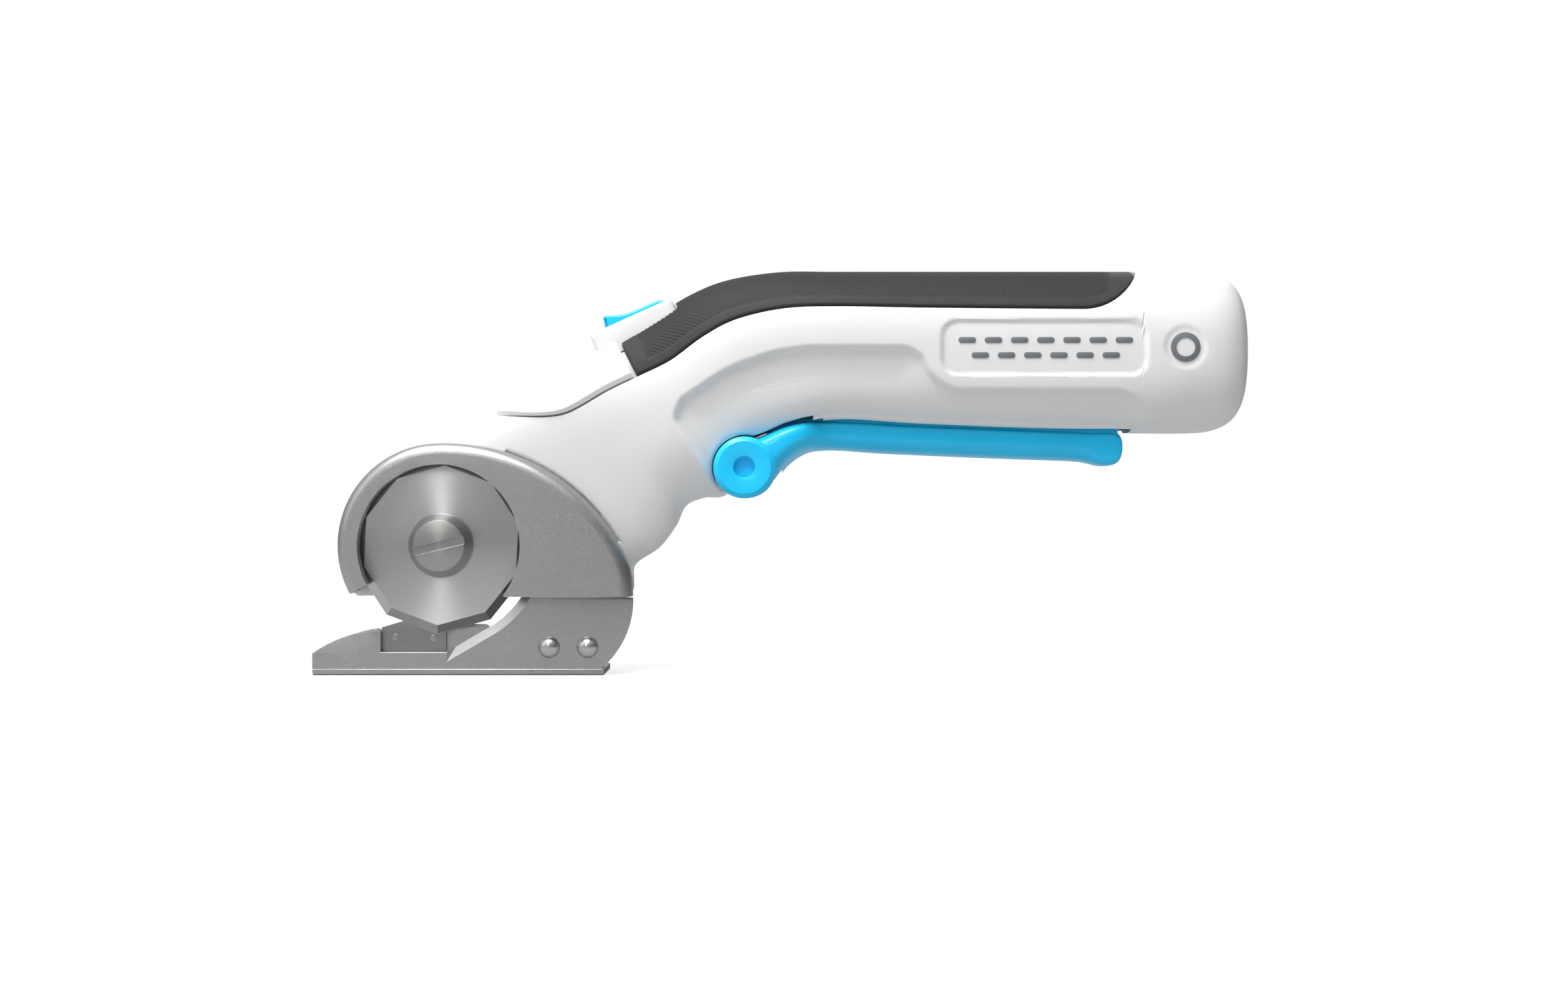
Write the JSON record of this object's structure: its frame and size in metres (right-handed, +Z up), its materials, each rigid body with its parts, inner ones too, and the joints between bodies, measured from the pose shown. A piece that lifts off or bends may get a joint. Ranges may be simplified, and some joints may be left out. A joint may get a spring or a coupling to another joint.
{
  "type": "rotary cutter",
  "caption": "Battery rotary fabric cutter: ten-sided blade in a silver guard over a sole plate, on an angled white handle with a squeeze paddle.",
  "frame": {"origin": "on the underside of the sole, straight below the blade's axle, in the handle's middle plane", "axes": "+X back along the handle, +Z up, -Y towards the blade's side of the tool"},
  "size_m": [0.2498, 0.039, 0.1087],
  "materials": {
    "white_shell": "satin moulded",
    "white_gloss": "gloss moulded",
    "grip_rubber": "dimpled soft grip",
    "blue_plastic": "satin moulded",
    "black_plastic": "moulded",
    "red_plastic": "moulded",
    "steel": "ground",
    "dark_steel": "black oxide",
    "cell_wrap": "shrink sleeve",
    "nickel": "nickel plate",
    "board_green": "solder mask",
    "light_pipe": "clear",
    "wire_red": "sleeved wire",
    "copper": "enamelled winding",
    "brass_gear": "cut",
    "gear_nylon": "moulded",
    "case_alloy": "die cast",
    "bronze": "sintered",
    "blade_steel": "circular brushed",
    "blade_dark": "ground",
    "screw_steel": "turned",
    "cover_silver": "fine silver paint",
    "shoe_steel": "bead blasted",
    "rivet_steel": "domed"
  },
  "bodies": {
    "housing": {"near_housing": "white_shell", "far_housing": "white_shell", "top_grip": "grip_rubber", "neck_cover": "white_gloss", "lock_switch": "black_plastic", "lever_pin": "steel", "lever_spring": "steel", "micro_switch": "black_plastic", "housing_screws": "dark_steel", "battery_cell": "cell_wrap", "battery_contacts": "nickel", "circuit_board": "board_green", "charging_port": "nickel", "charge_light": "light_pipe", "wiring": "wire_red", "motor_can": "steel", "motor_magnets": "dark_steel", "motor_end_cap": "black_plastic", "motor_plate": "steel", "ring_gear": "gear_nylon", "gear_case": "case_alloy", "carrier_bush": "bronze", "spindle_bearing": "steel", "rear_bush": "bronze", "blade_cover": "cover_silver", "cover_screws": "dark_steel", "shoe": "shoe_steel", "shoe_rivets": "rivet_steel", "shoe_screws": "dark_steel", "fixed_blade": "blade_dark", "fixed_blade_rivets": "screw_steel"},
    "lever": {"paddle_lever": "blue_plastic"},
    "button": {"lock_button": "blue_plastic"},
    "plunger": {"switch_plunger": "red_plastic"},
    "cutter": {"blade": "blade_steel", "blade_screw": "screw_steel", "spindle": "steel", "face_gear": "steel"},
    "carrier": {"planet_carrier": "steel", "drive_pinion": "steel"},
    "planet_1": {"planet_gear_1": "gear_nylon"},
    "planet_2": {"planet_gear_2": "gear_nylon"},
    "planet_3": {"planet_gear_3": "gear_nylon"},
    "rotor": {"motor_armature": "copper", "sun_gear": "brass_gear"}
  },
  "joints": [
    {"name": "blade_spin", "type": "hinge", "parent": "housing", "child": "cutter", "pos_m": [0, -0.0126, 0.0346], "axis": [0, -1, 0], "continuous": true},
    {"name": "carrier_spin", "type": "hinge", "parent": "housing", "child": "carrier", "pos_m": [0, 0.005, 0.0346], "axis": [0.8387, 0, 0.5446], "continuous": true},
    {"name": "planet_1_spin", "type": "hinge", "parent": "carrier", "child": "planet_1", "pos_m": [0.00327, 0.005, 0.02957], "axis": [0.8387, 0, 0.5446], "continuous": true},
    {"name": "planet_2_spin", "type": "hinge", "parent": "carrier", "child": "planet_2", "pos_m": [-0.00163, 0.0102, 0.03712], "axis": [0.8387, 0, 0.5446], "continuous": true},
    {"name": "planet_3_spin", "type": "hinge", "parent": "carrier", "child": "planet_3", "pos_m": [-0.00163, -0.0002, 0.03712], "axis": [0.8387, 0, 0.5446], "continuous": true},
    {"name": "motor_spin", "type": "hinge", "parent": "housing", "child": "rotor", "pos_m": [0, 0.005, 0.0346], "axis": [0.8387, 0, 0.5446], "continuous": true},
    {"name": "lever_squeeze", "type": "hinge", "parent": "housing", "child": "lever", "pos_m": [0.0807, 0, 0.0553], "axis": [0, -1, 0], "range_deg": [0, 3], "stiffness_Nm_per_rad": 3, "springref_deg": -1.72, "deforming": ["lever_spring"]},
    {"name": "plunger_push", "type": "slide", "parent": "housing", "child": "plunger", "axis": [0, 0, 1], "range_m": [0, 0.0016]},
    {"name": "lock_slide", "type": "slide", "parent": "housing", "child": "button", "axis": [-0.9114, 0, -0.4115], "range_m": [0, 0.003], "stiffness_N_per_m": 300, "springref_m": -0.001}
  ],
  "couplings": [
    {"joint": "carrier_spin", "follows": "blade_spin", "ratio": -2},
    {"joint": "planet_1_spin", "follows": "blade_spin", "ratio": 6},
    {"joint": "planet_2_spin", "follows": "blade_spin", "ratio": 6},
    {"joint": "planet_3_spin", "follows": "blade_spin", "ratio": 6},
    {"joint": "motor_spin", "follows": "blade_spin", "ratio": -8},
    {"joint": "plunger_push", "follows": "lever_squeeze", "m_per_rad": 0.0298}
  ]
}
